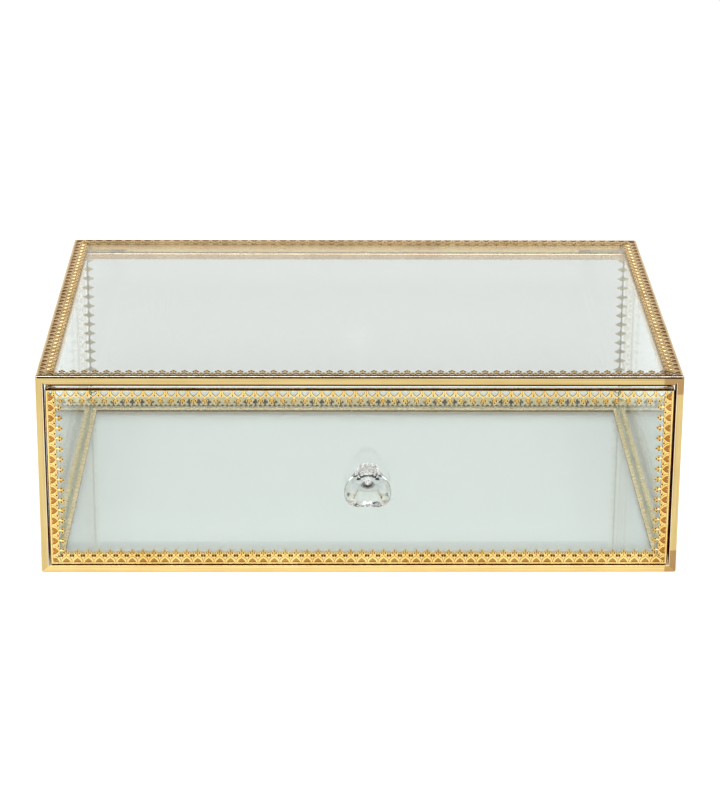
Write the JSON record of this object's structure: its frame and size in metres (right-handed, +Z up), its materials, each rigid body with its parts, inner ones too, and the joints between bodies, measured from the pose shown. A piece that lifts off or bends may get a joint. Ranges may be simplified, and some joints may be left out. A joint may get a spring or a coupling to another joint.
{
  "type": "glass jewelry box with a drawer",
  "caption": "Low rectangular jewelry box of clear glass panes edged with pierced brass lace, with a full-width glass drawer pulled out by a faceted crystal knob.",
  "frame": {"origin": "centre of the footprint of the closed box with its knob, on the surface that it stands on", "axes": "+X to the right as seen from the drawer's front, +Y to the back of the box, +Z up"},
  "size_m": [0.285, 0.2162, 0.094],
  "materials": {
    "glass": "clear, polished",
    "brass": "polished, bright gold",
    "crystal": "clear, faceted",
    "screw_metal": "plain steel"
  },
  "bodies": {
    "case": {"case_floor_glass": "glass", "case_top_glass": "glass", "case_left_glass": "glass", "case_right_glass": "glass", "case_back_glass": "glass", "front_top_strip": "brass", "front_bottom_strip": "brass", "front_left_strip": "brass", "front_right_strip": "brass", "top_left_strip": "brass", "top_right_strip": "brass", "top_rear_strip": "brass", "rear_left_strip": "brass", "rear_right_strip": "brass", "bottom_left_strip": "brass", "bottom_right_strip": "brass", "bottom_rear_strip": "brass"},
    "drawer": {"drawer_front_glass": "glass", "drawer_floor_glass": "glass", "drawer_left_glass": "glass", "drawer_right_glass": "glass", "drawer_back_glass": "glass", "drawer_lace_top": "brass", "drawer_lace_bottom": "brass", "drawer_lace_left": "brass", "drawer_lace_right": "brass", "drawer_lace_rear_left": "brass", "drawer_lace_rear_right": "brass", "drawer_floor_edge_left": "brass", "drawer_floor_edge_right": "brass", "drawer_floor_edge_front": "brass", "drawer_floor_edge_back": "brass", "drawer_rim_left": "brass", "drawer_rim_right": "brass", "drawer_rim_back": "brass", "drawer_corner_left": "brass", "drawer_corner_right": "brass", "knob": "crystal", "knob_screw": "screw_metal"}
  },
  "joints": [
    {"name": "drawer_slide", "type": "slide", "parent": "case", "child": "drawer", "axis": [0, -1, 0], "range_m": [0, 0.18]}
  ]
}
